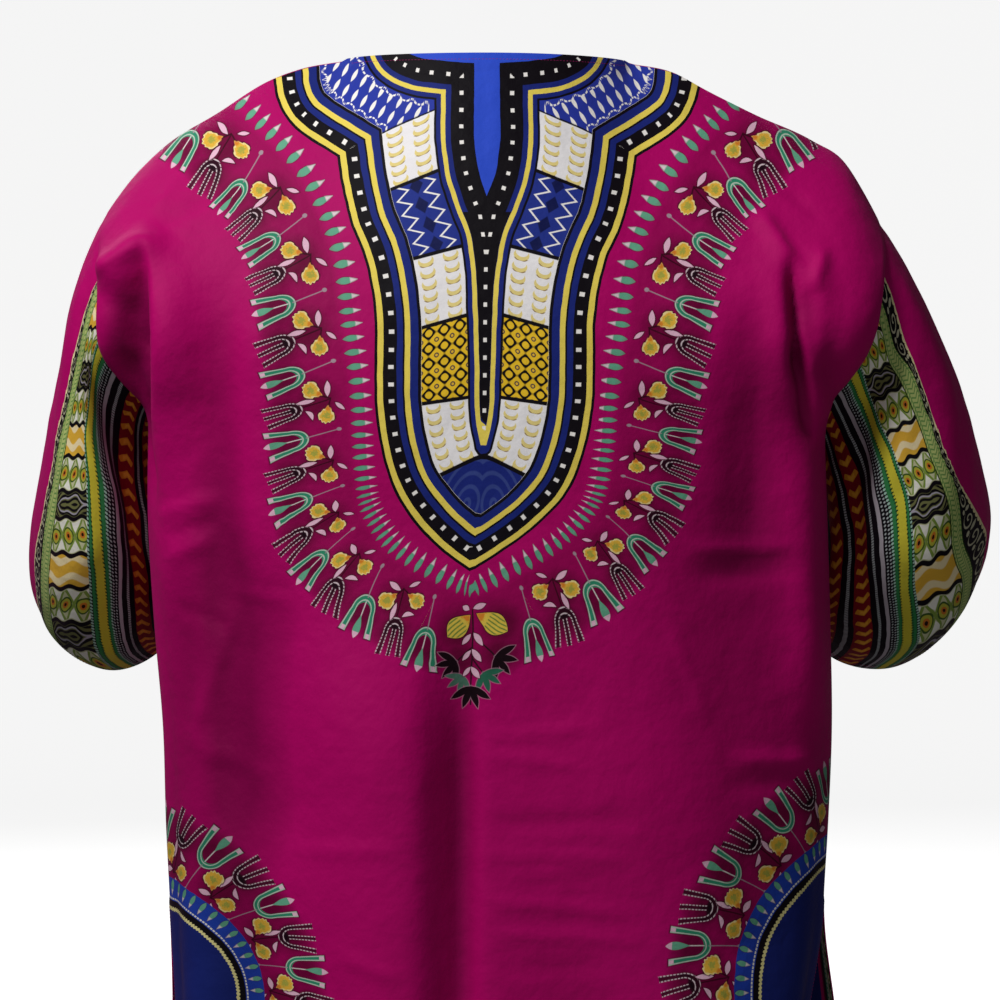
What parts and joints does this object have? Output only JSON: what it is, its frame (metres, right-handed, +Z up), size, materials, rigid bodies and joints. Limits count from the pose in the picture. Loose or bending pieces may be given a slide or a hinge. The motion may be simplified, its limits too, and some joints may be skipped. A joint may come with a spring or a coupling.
{
  "type": "dashiki shirt",
  "caption": "Loose pull-over dashiki shirt with short wide sleeves, a slit neck opening and side vents, in the hollow form of wearing, open at neck, hem and cuffs.",
  "frame": {"origin": "middle of the neck opening, at the height of the shoulder seams' neck ends, where a wearer's shoulders hold the shirt", "axes": "+Z up, the shirt's front faces -Y and its back +Y, and the wearer's left side is +X"},
  "size_m": [0.7857, 0.3051, 0.8672],
  "materials": {
    "body_cloth": "matt plain-woven cotton, magenta with a printed neck panel and printed borders",
    "sleeve_cloth": "matt plain-woven cotton, magenta with a printed sleeve border"
  },
  "bodies": {
    "root": {"back_panel": "body_cloth", "front_panel": "body_cloth", "sleeve_left": "sleeve_cloth", "sleeve_right": "sleeve_cloth"}
  },
  "joints": []
}
